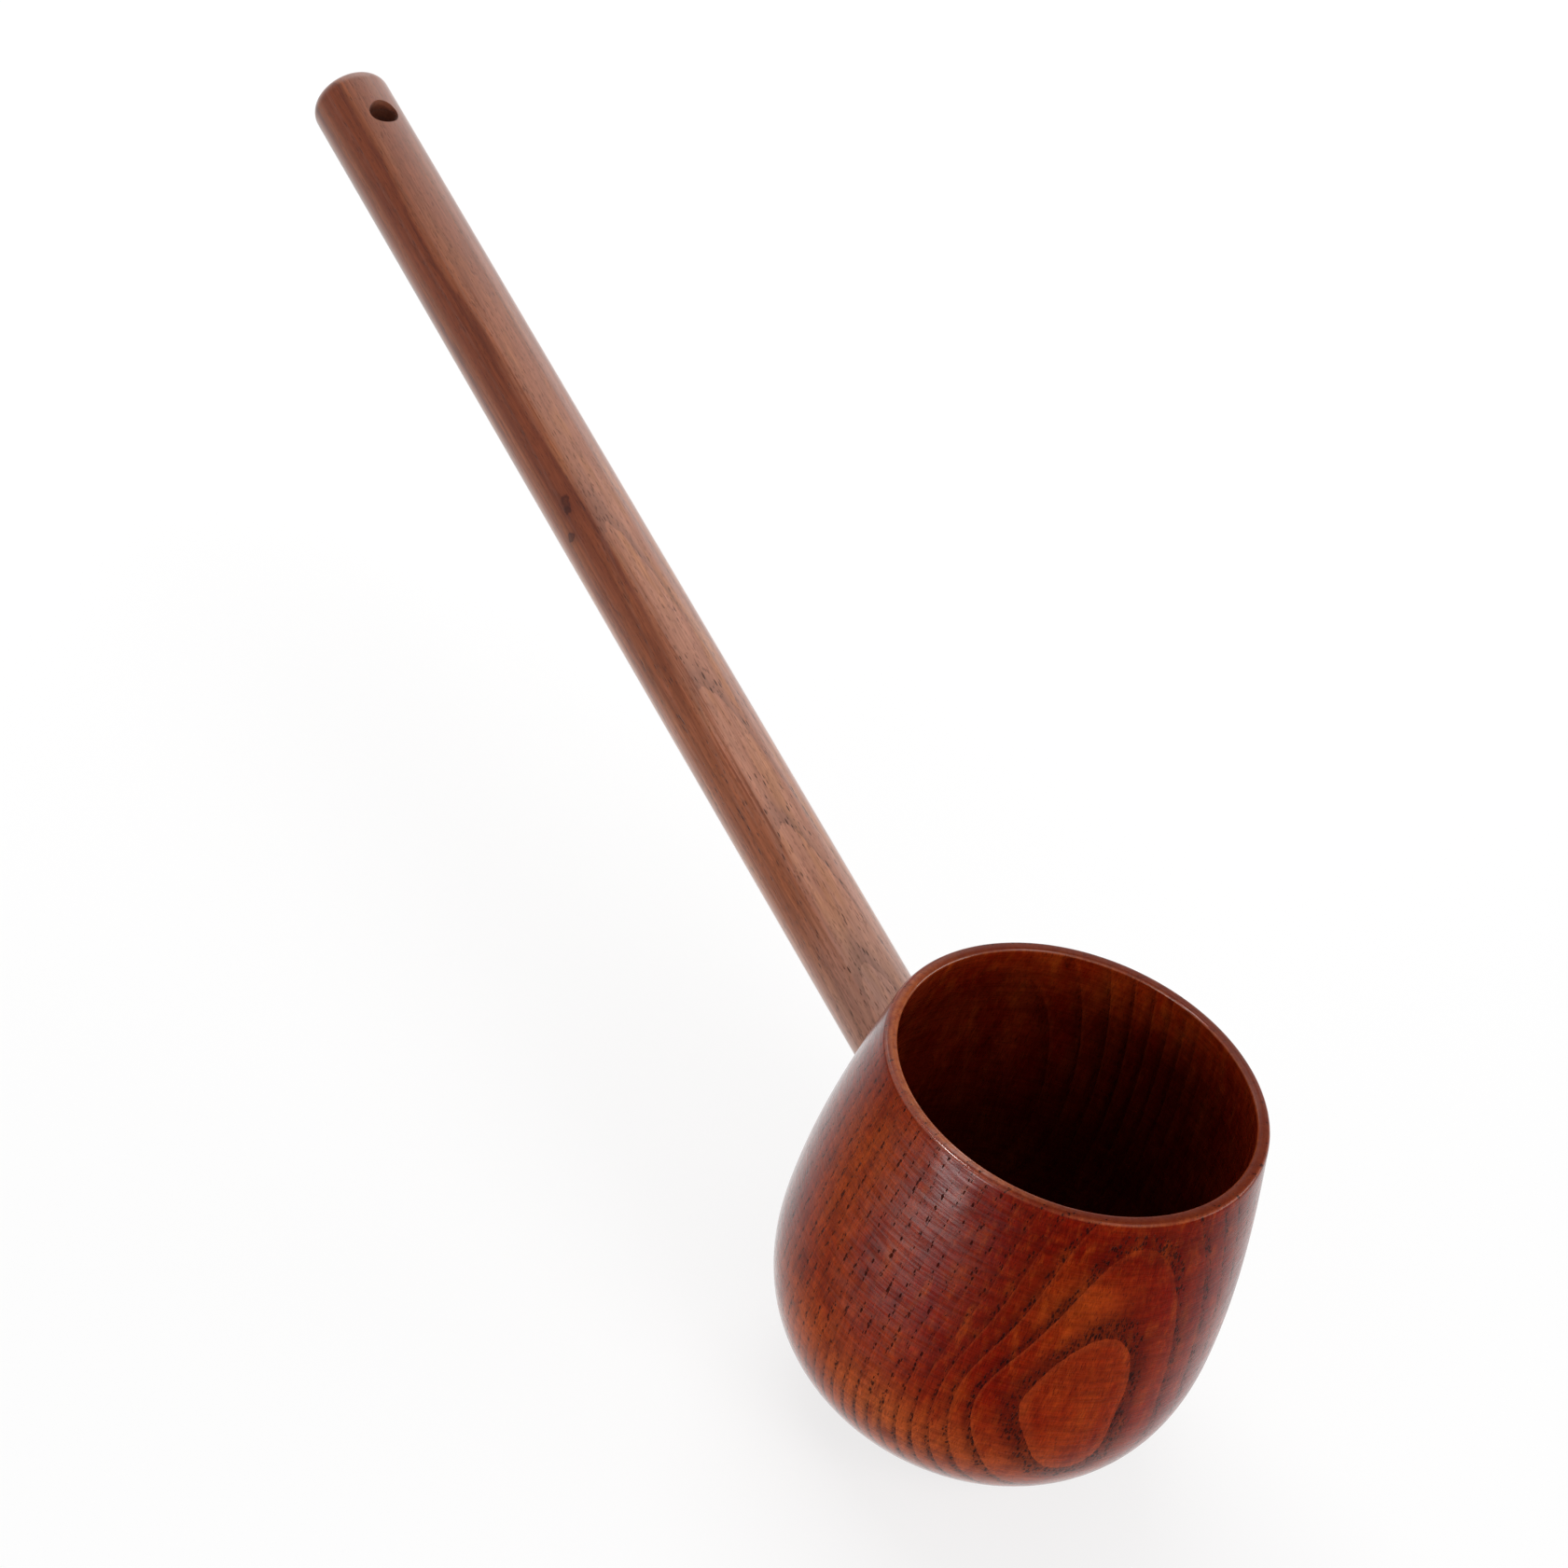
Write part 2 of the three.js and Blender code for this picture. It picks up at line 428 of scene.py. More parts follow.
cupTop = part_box("cup")[1]
cup = {
    "height": cupTop.z,
    "bellyRadius": cupTop.x,
    "bellyHeight": 0.031,
    "bellyPullUp": 0.015,
    "bellyPullDown": 0.020,
    "rimRadius": 0.0345,
    "rimLean": radians(11),
    "rimPull": 0.017,
    "footRadius": 0.022,
    "footRise": radians(32),
    "footPull": 0.010,
    "rimWall": 0.0024,
    "bellyWall": 0.0042,
    "floorThickness": 0.0065,
    "floorRadius": 0.014,
    "floorPull": 0.010,
    "bowlPullDown": 0.014,
    "lipRound": 0.0011,
    "lipPull": 2 / 3,  # of the way from the rounding's ends to the corner
    "footRings": (0.35, 0.7, 0.95),  # shares of the radius
    "floorRings": (0.8, 0.4),
    "wallSteps": 30,
    "lipSteps": 10,
    "turns": 192,
}


def downLean(point, length):  # down the wall from the rim, along its lean
    return point + Vector((sin(cup["rimLean"]), -cos(cup["rimLean"]))) * length


def upperWall(belly, rim):
    pull = belly + Vector((0, cup["bellyPullUp"]))
    lean, end = downLean(rim, cup["rimPull"]), downLean(rim, cup["lipRound"])
    return bend(belly, pull, lean, end, cup["wallSteps"])


def outerWall(grow):
    foot = Vector((cup["footRadius"] + grow, 0))
    belly = Vector((cup["bellyRadius"] + grow, cup["bellyHeight"]))
    rim = Vector((cup["rimRadius"] + grow, cup["height"]))
    pull = foot + Vector((cos(cup["footRise"]), sin(cup["footRise"]))) * cup["footPull"]
    lean = belly - Vector((0, cup["bellyPullDown"]))
    return [foot, *bend(foot, pull, lean, belly, cup["wallSteps"]), *upperWall(belly, rim)]


def bowlWall():
    floor = Vector((cup["floorRadius"], cup["floorThickness"]))
    belly = Vector((cup["bellyRadius"] - cup["bellyWall"], cup["bellyHeight"]))
    rim = Vector((cup["rimRadius"] - cup["rimWall"], cup["height"]))
    pull = floor + Vector((cup["floorPull"], 0))
    lean = belly - Vector((0, cup["bowlPullDown"]))
    return [floor, *bend(floor, pull, lean, belly, cup["wallSteps"]), *upperWall(belly, rim)]


def roundCorner(start, corner, end):
    pull, lean = start.lerp(corner, cup["lipPull"]), end.lerp(corner, cup["lipPull"])
    return bend(start, pull, lean, end, cup["lipSteps"])


def lipTop():  # from the outer wall's end to just before the bowl wall's
    outer = Vector((cup["rimRadius"], cup["height"]))
    inner = Vector((cup["rimRadius"] - cup["rimWall"], cup["height"]))
    inset = Vector((cup["lipRound"], 0))
    lip = roundCorner(downLean(outer, cup["lipRound"]), outer, outer - inset)
    lip.append(inner + inset)
    lip += roundCorner(inner + inset, inner, downLean(inner, cup["lipRound"]))
    return lip[:-1]


footMiddle = Vector((0, 0))
floorMiddle = Vector((0, cup["floorThickness"]))
rimMiddle = Vector((0, cup["height"]))
cupProfile = [
    footMiddle,
    *[Vector((cup["footRadius"] * part, 0)) for part in cup["footRings"]],
    *outerWall(0),
    *lipTop(),
    *reversed(bowlWall()),
    *[Vector((cup["floorRadius"] * part, cup["floorThickness"])) for part in cup["floorRings"]],
    floorMiddle,
]
cupPiece = turnOnLathe("turnedCup", cupProfile, cup["turns"])
print("cup turned:", len(cupPiece.data.polygons), "faces")

# handle: rounded tip, rings along its length, coped end, dowel bore and hanging hole

rod = {
    "radius": 0.008,
    "tilt": radians(12),
    "axisHeight": 0.037,  # where its axis would meet the cup's axis
    "wallReach": 0.04019,  # from there to the cup's wall
    "tipReach": 0.2800,
    "tipRound": 0.0035,
    "tipSteps": 12,
    "tipInset": 0.0006,
    "copeSpare": 0.016,  # starts this far inside the wall, for the cope to cut
    "copeGap": 0.00005,
    "boreRadius": 0.00405,
    "boreDepth": 0.0295,
    "boreSpare": 0.002,
    "boreSides": 64,
    "holeRadius": 0.003,
    "holeFromTip": 0.01281,
    "holeDrillLength": 0.032,
    "sides": 96,
    "rings": 170,
    "longEdge": 0.1,  # only edges that run the whole rod are longer
}
rodRoot = Vector((0, 0, rod["axisHeight"]))
rodAxis = Vector((cos(rod["tilt"]), 0, sin(rod["tilt"])))


def rodBar(name, radius, sides, start, end):  # a round bar along the rod's axis
    middle = rodRoot + rodAxis * (start + end) / 2
    return roundBar(name, radius, sides, end - start, middle, pi / 2 - rod["tilt"])


def reachOf(point):
    return (point - rodRoot).dot(rodAxis)


def nearTip(point):
    return reachOf(point) > rod["tipReach"] - touchDistance


rodStart = rod["wallReach"] - rod["copeSpare"]
handlePiece = rodBar("rodHandle", rod["radius"], rod["sides"], rodStart, rod["tipReach"])
selectEdges(handlePiece, lambda a, b: nearTip(a) and nearTip(b))
bpy.ops.mesh.bevel(offset=rod["tipRound"], segments=rod["tipSteps"], affect="EDGES")
bpy.ops.object.mode_set(mode="OBJECT")
selectFaces(
    handlePiece,
    lambda middle, normal: nearTip(middle) and normal.dot(rodAxis) > squareOn,
)
bpy.ops.mesh.inset(thickness=rod["tipInset"])
bpy.ops.object.mode_set(mode="OBJECT")
selectEdges(handlePiece, lambda a, b: abs(reachOf(a) - reachOf(b)) > rod["longEdge"])
bpy.ops.mesh.subdivide(number_cuts=rod["rings"])
bpy.ops.object.mode_set(mode="OBJECT")

copeProfile = [footMiddle, *outerWall(rod["copeGap"]), rimMiddle]
carve(handlePiece, turnOnLathe("copeCutter", copeProfile, cup["turns"]))
boreStart, boreEnd = rodStart - rod["boreSpare"], rod["wallReach"] + rod["boreDepth"]
rodDrill = rodBar("rodDrill", rod["boreRadius"], rod["boreSides"], boreStart, boreEnd)
carve(handlePiece, rodDrill)
holeDrill = roundBar(
    "holeDrill",
    rod["holeRadius"],
    rod["boreSides"],
    rod["holeDrillLength"],
    rodRoot + rodAxis * (rod["tipReach"] - rod["holeFromTip"]),
    -rod["tilt"],
)
carve(handlePiece, holeDrill)
easeShading(handlePiece)
print("handle shaped:", len(handlePiece.data.polygons), "faces")

# dowel: chamfered inside the rod, through the cup's wall, trimmed flush with the bowl

dowel = {
    "radius": 0.004,
    "sides": 64,
    "depth": 0.028,  # inside the rod
    "spare": 0.014,  # starts this far inside the wall, for the trim to cut
    "chamfer": 0.0008,
    "chamferSteps": 3,
    "wallDrill": (0.025, 0.050),  # reach of the drill that opens the cup's wall
}
dowelStart, dowelEnd = rod["wallReach"] - dowel["spare"], rod["wallReach"] + dowel["depth"]
dowelPiece = rodBar("jointDowel", dowel["radius"], dowel["sides"], dowelStart, dowelEnd)
selectEdges(dowelPiece, lambda a, b: min(reachOf(a), reachOf(b)) > dowelEnd - touchDistance)
bpy.ops.mesh.bevel(offset=dowel["chamfer"], segments=dowel["chamferSteps"], affect="EDGES")
bpy.ops.object.mode_set(mode="OBJECT")
bowlProfile = [floorMiddle, *bowlWall(), rimMiddle]
carve(dowelPiece, turnOnLathe("bowlCutter", bowlProfile, cup["turns"]))
easeShading(dowelPiece)
carve(cupPiece, rodBar("wallDrill", rod["boreRadius"], dowel["sides"], *dowel["wallDrill"]))
easeShading(cupPiece)
print("dowel shaped:", len(dowelPiece.data.polygons), "faces")

# cup wood: ring-porous, stained reddish brown and lacquered

cupLacquer = {"specular": 0.02, "coatRoughness": 0.2, "shine": (0.4, 1.0, 0, 0.8)}
cupGrain = {
    "centre": (0, 0, 0.038),
    "turn": (0, 0, 165),  # degrees, to the block's outer face
    "slope": (1, 0.067, -0.049),
    "offset": 0.72,
    "swells": [  # centre, size, height
        ((0, -5.7, 4.8), (1000, 13.7, 12.5), 1.49),
        ((0, 8.8, -5.2), (1000, 25, 25.6), -3.0),
        ((0, -14, 46), (1000, 35, 26.7), 3.0),
        ((0, -19.6, -2.8), (1000, 8, 11.9), 2.03),
    ],
    "rings": {
        "first": 38.4,
        "spacing": 2.1,
        "widening": 0.006,
        "wander": 0.12,
        "ragged": 1.3,
        "bandShare": 0.5,
    },
    "wallMiddle": {"radius": 38.2, "height": -7, "lean": 0.102, "round": 0.0186},
    "fibres": {"width": 0.25, "length": 2.6},
    "strokes": {"spacing": 0.34, "length": 2.6, "size": 0.55},
    "pores": {"spacing": 0.44, "length": 1.15},
    "specks": {"spacing": 0.26, "length": 1.7, "size": 0.42},
    "marks": {"pitch": 0.36},
    "scratches": {"pitch": 0.46},
    "cloud": {"stretch": (0.1, 0.1, 0.06), "detail": 3.0},
    "blotch": {"stretch": (0.4, 0.4, 0.11), "detail": 3.0},
    "mottle": {"stretch": (0.9, 0.9, 0.35), "detail": 5.0, "roughness": 0.6},
    "figure": {"stretch": (0.16, 0.16, 0.9), "detail": 3.0},  # ripples across the grain
    "cluster": {"stretch": (0.45, 0.45, 0.3), "detail": 3.0},
    "poreSizes": {"scale": 0.5, "detail": 2.0},
    "colours": {
        "brown": "721f08",
        "red": "680e02",
        "deepRed": "4e0500",
        "orange": "963f10",
        "earlyBand": "2c0604",
        "paleEdge": "a4552a",
        "poreDark": "160504",
        "lipStain": "551b0f",
    },
    "faceSpots": [  # where the rings are cut flat and show as bands; centre, size, strength
        ((38, -4, 0), (26, 22, 32), 1.0),
        ((24, -26, -26), (26, 26, 14), 1.0),
        ((-24, 24, 18), (16, 18, 26), 0.8),  # inside
    ],
    "stainsAndPaintedLight": {  # colour, then centre, size, strength
        "orange": [
            ((2, -39, 20), (10, 12, 20), 0.7),
            ((26, -22, -26), (30, 40, 13), 0.85),
            ((36, -10, 21), (10, 9, 7), 0.7),
            ((38, -2, 0), (8, 9, 14), 0.3),
            # painted light: the next spot lightens the belly's lower edge, standing in for the
            # floor's reflection
            ((4, -38, -14), (16, 14, 12), 0.8),
            ((-14, 20, 36), (40, 26, 9), 0.2),  # inside, under the lip
        ],
        # painted light: a pale spot low on the belly, standing in for light bounced from the floor
        "paleEdge": [((25, -28, -19), (22, 20, 8), 0.6)],
        "deepRed": [
            ((33, -20, 20), (12, 10, 24), 0.75),
            ((30, 0, 32), (20, 34, 5.0), 0.9),
            ((34, 10, 18), (12, 14, 12), 0.35),
        ],
    },
    "polish": ((19, -31.7, 24), (9.5, 9.5, 24)),  # rubbed bright by the hand
    "lateShare": 0.3,
    "edgeShare": 0.1,
    "poreShare": 0.8,
    "poreRoughness": 0.2,
    "relief": {"marks": 0.6, "fibres": 0.2, "pores": -1.0, "depth": 0.00012},
    "fades": {  # from, to, result at from, result at to
        "face": (0.1, 0.8, 0.25, 1.0),
        "poreSize": (0.35, 0.65, 0.4, 0.75),
        "earlyPores": (0.12, 0.4, 0.5, 0.0),
        "poreCrowd": (0.74, 0.86, 0, 1),
        "inside": (-0.3, 0.3, 1, 0),
        "filledPores": (0, 1, 1.0, 0.25),
        "tone": (0.35, 0.65, 0, 1),
        "stainCloud": (0.2, 0.8, 1.2, 0.8),
        "orangeBlotch": (0.52, 0.75, 0, 0.4),
        "redBlotch": (0.28, 0.5, 0.5, 0),
        "orangeMottle": (0.45, 0.8, 0, 0.3),
        "redMottle": (0.2, 0.5, 0.45, 0),
        "bandStrokes": (0, 1, 0.55, 0.92),
        "fibreShade": (0.25, 0.75, 0.68, 1.28),
        "markShade": (0.25, 0.75, 0.96, 1.04),
        "figureShade": (0.3, 0.7, 0.84, 1.14),
        # painted shade: the bowl darker towards its bottom
        "paintedBowlShade": (-14, 22, 0.55, 0),
        "lip": (37.25, 37.55, 0, 1),
        "lipFlat": (37.6, 37.95, 0, 1),
        "wornSide": (-28, -8, 0.85, 0.4),
        "wornInner": (33.5, 34.1, 1, 0.25),
        "wornAcross": (-22, -8, 0, 1),
        "wornMottle": (0.35, 0.65, 0.55, 1.1),
        "stainedSide": (-28, -8, 0.1, 0.7),
        "lipCoat": (0, 1, 0.9, 0.12),
        "pourFront": (4, 14, 0, 1),
        "pourSide": (-28, -18, 0, 0.75),
        "coatSide": (-38, 38, 1.25, 0.8),
        "scratches": (0.35, 0.65, 0.4, 1.3),
        "speckCluster": (0.35, 0.65, 0.2, 0.6),
        "roughness": (0.35, 0.65, 0.2, 0.4),
    },
}
fades, colours = cupGrain["fades"], screenColours(cupGrain["colours"])
cupWood, tree, shader, gloss = startWood("cupWood", cupLacquer)
place = grainPlace(tree, cupGrain["centre"], cupGrain["turn"])
parts = newNode(tree, "ShaderNodeSeparateXYZ", (place,)).outputs
front, aside, height = parts["X"], parts["Y"], parts["Z"]
depth = vectors(tree, "DOT_PRODUCT", place, cupGrain["slope"])
depth = maths(tree, "ADD", depth, cupGrain["offset"])
for centre, size, rise in cupGrain["swells"]:
    depth = maths(tree, "MULTIPLY_ADD", spotMask(tree, place, centre, size), rise, depth)
fibres = useGroup(tree, fibreGroup, place=place, **cupGrain["fibres"])["streak"]
rings = useGroup(tree, ringGroup, place=place, depth=depth, hatch=fibres, **cupGrain["rings"])
face = 0.0
for centre, size, strength in cupGrain["faceSpots"]:
    spot = times(tree, spotMask(tree, place, centre, size), strength)
    face = maths(tree, "MAXIMUM", face, spot)
face = fade(tree, face, fades["face"])
strokes = useGroup(tree, poreGroup, place=place, **cupGrain["strokes"])["mask"]
marks = useGroup(tree, markGroup, place=place, **cupGrain["marks"])["mark"]
cloud = noise(tree, place, **cupGrain["cloud"])
blotch = noise(tree, place, **cupGrain["blotch"])
mottle = noise(tree, place, **cupGrain["mottle"])
figure = noise(tree, place, **cupGrain["figure"])
cluster = noise(tree, place, **cupGrain["cluster"])

# the middle of the wall parts inside from outside
wallMiddle = cupGrain["wallMiddle"]
overBelly = maths(tree, "SUBTRACT", height, wallMiddle["height"])
above = maths(tree, "MAXIMUM", overBelly, 0)
below = maths(tree, "MINIMUM", overBelly, 0)
middle = maths(tree, "MULTIPLY_ADD", above, -wallMiddle["lean"], wallMiddle["radius"])
middle = maths(tree, "SUBTRACT", middle, times(tree, below, below, wallMiddle["round"]))
reach = vectors(tree, "LENGTH", vectors(tree, "MULTIPLY", place, (1, 1, 0)))
inside = fade(tree, maths(tree, "SUBTRACT", reach, middle), fades["inside"])

# large pores sit in rows along the early wood, and inside the bowl the stain fills them
poreSize = fade(tree, noise(tree, place, **cupGrain["poreSizes"]), fades["poreSize"])
pores = useGroup(tree, poreGroup, place=place, size=poreSize, **cupGrain["pores"])["mask"]
crowd = maths(tree, "ADD", cluster, fade(tree, rings["late"], fades["earlyPores"]))
crowd = fade(tree, crowd, fades["poreCrowd"])
poreShare = times(tree, pores, crowd, fade(tree, inside, fades["filledPores"]))

colour = mixColours(tree, fade(tree, cloud, fades["tone"]), colours["brown"], colours["red"])
stainCloud = fade(tree, cloud, fades["stainCloud"])
for stain, spots in cupGrain["stainsAndPaintedLight"].items():
    for centre, size, strength in spots:
        share = times(tree, spotMask(tree, place, centre, size), stainCloud, strength)
        colour = mixColours(tree, share, colour, colours[stain])
for veil, span, stain in (
    (blotch, "orangeBlotch", "orange"),
    (blotch, "redBlotch", "deepRed"),
    (mottle, "orangeMottle", "orange"),
    (mottle, "redMottle", "deepRed"),
):
    colour = mixColours(tree, fade(tree, veil, fades[span]), colour, colours[stain])
lateShare = times(tree, rings["late"], face, cupGrain["lateShare"])
bandShare = times(tree, rings["band"], face, fade(tree, strokes, fades["bandStrokes"]))
edgeShare = times(tree, rings["edge"], face, cupGrain["edgeShare"])
colour = mixColours(tree, lateShare, colour, colours["red"])
colour = mixColours(tree, bandShare, colour, colours["earlyBand"])
colour = mixColours(tree, edgeShare, colour, colours["paleEdge"])
for veil, span in ((fibres, "fibreShade"), (marks, "markShade"), (figure, "figureShade")):
    colour = shade(tree, colour, fade(tree, veil, fades[span]))
paintedBowlShade = times(tree, inside, fade(tree, height, fades["paintedBowlShade"]))  # painted shade: darker towards the bottom of the bowl
colour = shade(tree, colour, maths(tree, "SUBTRACT", 1, paintedBowlShade))

# the lip: worn pale on one side, most along its inner edge, and stained dark on top elsewhere
lip = fade(tree, height, fades["lip"])
lipFlat = fade(tree, height, fades["lipFlat"])
wornInner = fade(tree, reach, fades["wornInner"])
wornInner = maths(tree, "MAXIMUM", wornInner, fade(tree, aside, fades["wornAcross"]))
worn = times(tree, lip, fade(tree, aside, fades["wornSide"]), wornInner)
worn = times(tree, worn, fade(tree, mottle, fades["wornMottle"]))
stained = times(tree, lipFlat, fade(tree, aside, fades["stainedSide"]))
colour = mixColours(tree, worn, colour, colours["paleEdge"])
colour = mixColours(tree, stained, colour, colours["lipStain"])

# the lacquer: thick on the lip's edges but not where it pours, thicker on one side, polished there
lipGloss = times(tree, lip, fade(tree, lipFlat, fades["lipCoat"]))
poured = times(tree, fade(tree, front, fades["pourFront"]), fade(tree, aside, fades["pourSide"]))
lipGloss = times(tree, lipGloss, maths(tree, "SUBTRACT", 1, poured))
gloss = times(tree, gloss, fade(tree, aside, fades["coatSide"]))
gloss = maths(tree, "MAXIMUM", gloss, lipGloss)
scratches = useGroup(tree, markGroup, place=place, **cupGrain["scratches"])["mark"]
polish = spotMask(tree, place, *cupGrain["polish"])
polish = times(tree, polish, fade(tree, scratches, fades["scratches"]))
polish = times(tree, polish, maths(tree, "SUBTRACT", 1, poreShare))
gloss = maths(tree, "MAXIMUM", gloss, polish)

# small pores sit anywhere
specks = useGroup(tree, poreGroup, place=place, **cupGrain["specks"])["mask"]
speckShare = times(tree, specks, fade(tree, cluster, fades["speckCluster"]))
colour = mixColours(tree, speckShare, colour, colours["earlyBand"])
darkShare = times(tree, poreShare, cupGrain["poreShare"])
colour = mixColours(tree, darkShare, colour, colours["poreDark"])

roughness = fade(tree, marks, fades["roughness"])
roughness = maths(tree, "MULTIPLY_ADD", poreShare, cupGrain["poreRoughness"], roughness)
finishSurface(
    tree,
    shader,
    colour,
    gloss,
    roughness,
    cupGrain["relief"],
    marks=marks,
    fibres=fibres,
    pores=poreShare,
)
paint(cupPiece, cupWood)

# handle wood: darker, satin, with streaks and three pin knots

rodLacquer = {"specular": 0.15, "coatRoughness": 0.28, "shine": (0.12, 1.0, 0, 1.0)}
rodSheen = {"Sheen Weight": 0.15, "Sheen Roughness": 0.4}  # bare fibres between coats
rodGrain = {
    "turn": (0, 78, 0),  # degrees: z along the rod, -x to its upper side
    "slope": (-0.899, 0.438, 0),
    "rise": 0.067,  # how fast the rings climb out of the upper side
    "levelAfter": 11.0,
    "levelBlend": 4.0,
    "rings": {
        "first": 2.1,
        "spacing": 2.15,
        "wander": 0.2,
        "ragged": 0.9,
        "bandShare": 0.22,
    },
    "fibres": {"width": 0.22, "length": 4.5},
    "veins": {"width": 0.6, "length": 34.0},
    "bundles": {"width": 0.8, "length": 22.0},
    "pores": {"spacing": 0.42, "length": 2.4, "size": 0.42},
    "specks": {"spacing": 0.28, "length": 2.0, "size": 0.4},
    "marks": {"pitch": 0.5},
    "cloud": {"stretch": (0.25, 0.25, 0.02), "detail": 3.0},
    "ripple": {"stretch": (0.3, 0.3, 0.03), "detail": 3.0},
    "warmth": {"stretch": (0.4, 0.4, 0.05), "detail": 4.0},
    "crowd": {"scale": 0.3, "detail": 2.0},
    "rippleFibres": 0.4,
    "rippleMiddle": 0.7,
    "rippleHeight": 2.0,
    "featherHeight": 3.0,
    "streakRipple": 0.4,
    "colours": {
        "light": "ab7863",
        "root": "c4a092",  # painted light: paler beside the cup, against the shade the cup casts on the rod
        "far": "7b4733",  # towards the tip
        "tan": "a8704a",
        "side": "824424",
        "streak": "662e1c",
        "vein": "4e2015",
        "greyLine": "6a4c44",
        "poreDark": "38190f",
        "knotDark": "34110a",
    },
    "sideFacing": (-0.342, 0.940, 0),  # the browner side of the rod
    "streakFacing": (-0.5, 0.866, 0),
    "knots": [  # centre, size, how pale its heart is
        ((-4.0, 6.9, 168.8), (1.0, 0.8, 1.5), 0.25),
        ((-3.7, 7.1, 167.3), (0.9, 0.7, 0.8), 0.0),
        ((-1.4, 7.9, 162.5), (1.0, 0.8, 0.8), 0.2),
    ],
    "knotJitter": {"scale": 0.7, "middle": (0.9, 0.9, 0.9), "height": (1.8, 1.8, 1.8)},
    "haloSize": 2.2,
    "haloShare": 0.35,
    "speckShare": 0.45,
    "poreShare": 0.85,
    "relief": {"fibres": 0.2, "marks": 0.05, "pores": -1.0, "depth": 0.00008},
    "fades": {  # from, to, result at from, result at to
        "earlyPores": (0.0, 0.5, 0.3, 0.0),
        "poreCrowd": (0.45, 0.75, 0.15, 1.0),
        "poreAlong": (110, 180, 1.0, 0.5),
        "farAlong": (110, 280, 0, 1),
        "farCloud": (0.35, 0.7, 0, 0.5),
        "tanWarmth": (0.45, 0.65, 0, 0.5),
        "tanAlong": (150, 240, 1, 0.2),
        "rootPaintedLightAlong": (50, 75, 0.35, 0),
        "sideNarrows": (90, 170, 0.5, 0),
        "side": (5.8, 7.4, 0, 0.85),
        # painted light: the browner side faded out beside the cup, against its shade
        "sidePaintedLightAlong": (50, 80, 0.35, 1),
        "streak": (7.25, 7.9, 0, 1),
        "streakAlong": (110, 180, 0.15, 0.75),
        "seamStart": (6.8, 7.1, 0, 1),
        "seamEnd": (7.2, 7.6, 1, 0),
        "seamCloud": (0.35, 0.6, 0.1, 0.7),
        "seamAlong": (90, 160, 0.15, 1.0),
        "veins": (0.5, 0.68, 0, 0.55),
        "bandSide": (0.0, 0.8, 0.45, 0.2),
        "bundleShade": (0.25, 0.75, 0.84, 1.14),
        "fibreShade": (0.25, 0.75, 0.8, 1.18),
        "knotEdge": (0.2, 0.5, 0, 0.8),
        "knotHeart": (0.6, 0.85, 0, 1),
        "roughness": (0.2, 0.8, 0.42, 0.55),
    },
}
fades, colours = rodGrain["fades"], screenColours(rodGrain["colours"])
rodWood, tree, shader, gloss = startWood("rodWood", rodLacquer)
for label, value in rodSheen.items():
    shader.inputs[label].default_value = value
place = grainPlace(tree, rodRoot, rodGrain["turn"])
along = newNode(tree, "ShaderNodeSeparateXYZ", (place,)).outputs["Z"]
climb = times(tree, along, rodGrain["rise"])
climb = maths(tree, "SMOOTH_MIN", climb, rodGrain["levelAfter"], rodGrain["levelBlend"])
depth = vectors(tree, "DOT_PRODUCT", place, rodGrain["slope"])
depth = maths(tree, "SUBTRACT", depth, climb)
fibres = useGroup(tree, fibreGroup, place=place, **rodGrain["fibres"])["streak"]
rings = useGroup(tree, ringGroup, place=place, depth=depth, hatch=fibres, **rodGrain["rings"])
marks = useGroup(tree, markGroup, place=place, **rodGrain["marks"])["mark"]
cloud = noise(tree, place, **rodGrain["cloud"])
ripple = times(tree, fibres, rodGrain["rippleFibres"])
ripple = maths(tree, "ADD", noise(tree, place, **rodGrain["ripple"]), ripple)
ripple = maths(tree, "SUBTRACT", ripple, rodGrain["rippleMiddle"])
ripple = times(tree, ripple, rodGrain["rippleHeight"])
pores = useGroup(tree, poreGroup, place=place, **rodGrain["pores"])["mask"]
crowd = noise(tree, place, **rodGrain["crowd"])
crowd = maths(tree, "ADD", crowd, fade(tree, rings["late"], fades["earlyPores"]))
poreShare = times(tree, pores, fade(tree, crowd, fades["poreCrowd"]))
poreShare = times(tree, poreShare, fade(tree, along, fades["poreAlong"]))
specks = useGroup(tree, poreGroup, place=place, **rodGrain["specks"])["mask"]

farShare = fade(tree, along, fades["farAlong"])
colour = mixColours(tree, farShare, colours["light"], colours["far"])
colour = mixColours(tree, fade(tree, cloud, fades["farCloud"]), colour, colours["far"])
warmth = fade(tree, noise(tree, place, **rodGrain["warmth"]), fades["tanWarmth"])
warmth = times(tree, warmth, fade(tree, along, fades["tanAlong"]))
colour = mixColours(tree, warmth, colour, colours["tan"])
# painted light: the rod paler beside the cup, where the cup shades it
colour = mixColours(tree, fade(tree, along, fades["rootPaintedLightAlong"]), colour, colours["root"])

# the browner side, narrower near the cup and faded out beside it as painted light against the
# cup's shade, with a dark seam along its border and veins
veins = useGroup(tree, fibreGroup, place=place, **rodGrain["veins"])["streak"]
turned = vectors(tree, "DOT_PRODUCT", place, rodGrain["sideFacing"])
turned = maths(tree, "ADD", turned, ripple)
turned = maths(tree, "SUBTRACT", turned, fade(tree, along, fades["sideNarrows"]))
feather = maths(tree, "SUBTRACT", veins, 0.5)
feather = maths(tree, "MULTIPLY_ADD", feather, rodGrain["featherHeight"], turned)
side = times(tree, fade(tree, feather, fades["side"]), fade(tree, along, fades["sidePaintedLightAlong"]))
colour = mixColours(tree, side, colour, colours["side"])
streak = vectors(tree, "DOT_PRODUCT", place, rodGrain["streakFacing"])
